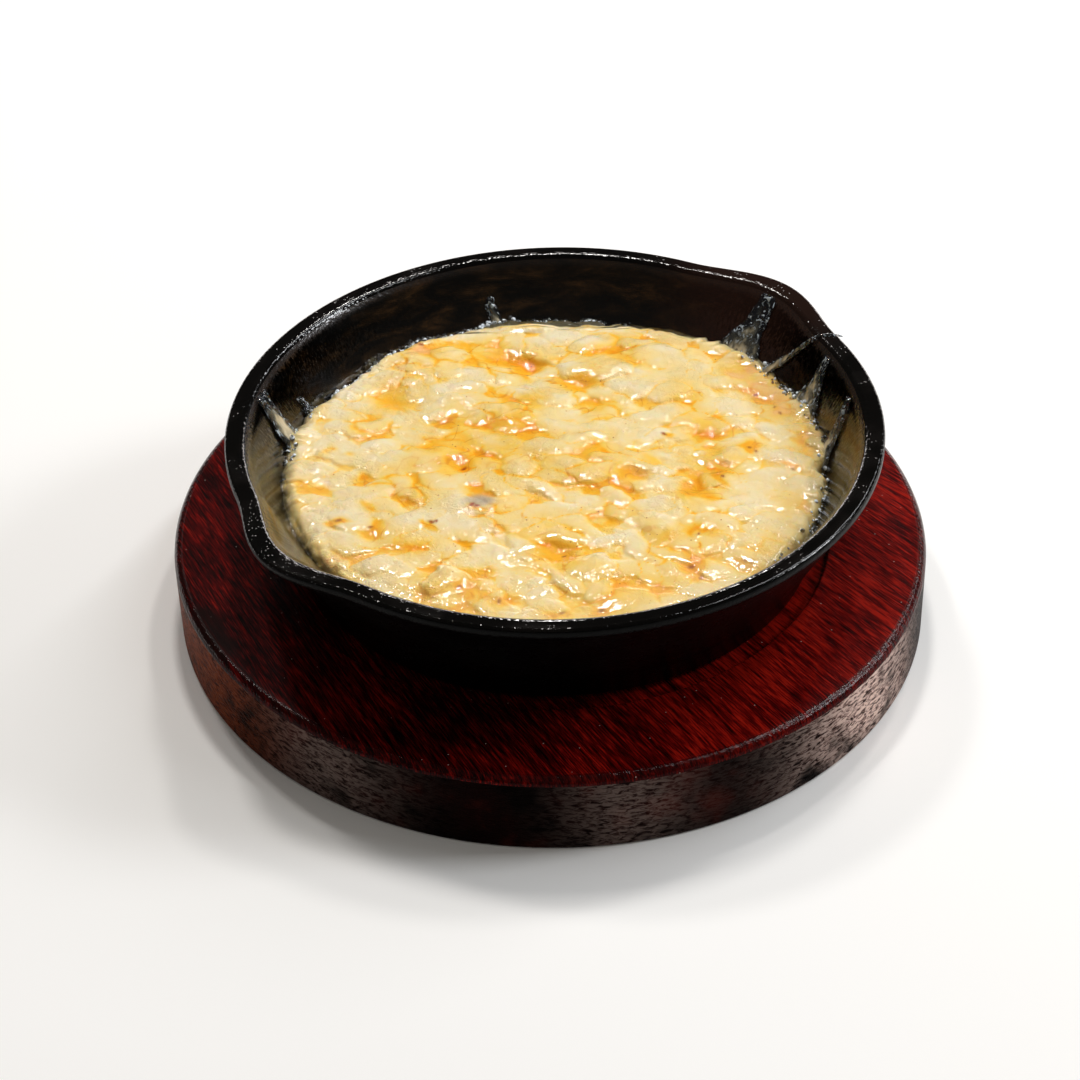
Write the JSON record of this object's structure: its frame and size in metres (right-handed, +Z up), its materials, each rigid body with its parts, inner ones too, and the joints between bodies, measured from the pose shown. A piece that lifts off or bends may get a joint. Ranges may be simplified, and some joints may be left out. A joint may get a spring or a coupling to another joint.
{
  "type": "queso fundido",
  "caption": "Melted cheese in a small cast-iron pan with pouring lips, standing in the routed seat of a round stained wooden base.",
  "frame": {"origin": "centre of the wooden base's underside", "axes": "+Z up, out of the pan; the pan's two pouring lips point to -X-Y and +X+Y"},
  "size_m": [0.1936, 0.1952, 0.0556],
  "materials": {
    "stained_wood": "dark wine-red stain under a glossy clear lacquer, darker on the side",
    "cast_iron": "black seasoned iron, glossy, with a slightly rough casting skin",
    "melted_cheese": "cream melted cheese, wet with fat, with golden and orange fat in the low places",
    "cheese_string": "thin glassy film of melted cheese dried on the wall"
  },
  "bodies": {
    "root": {"wooden_base": "stained_wood", "iron_pan": "cast_iron", "melted_cheese": "melted_cheese", "string_left": "cheese_string", "string_left_short": "cheese_string", "string_back": "cheese_string", "string_lip": "cheese_string", "string_thread": "cheese_string", "string_right_wide": "cheese_string", "string_right": "cheese_string"}
  },
  "joints": []
}
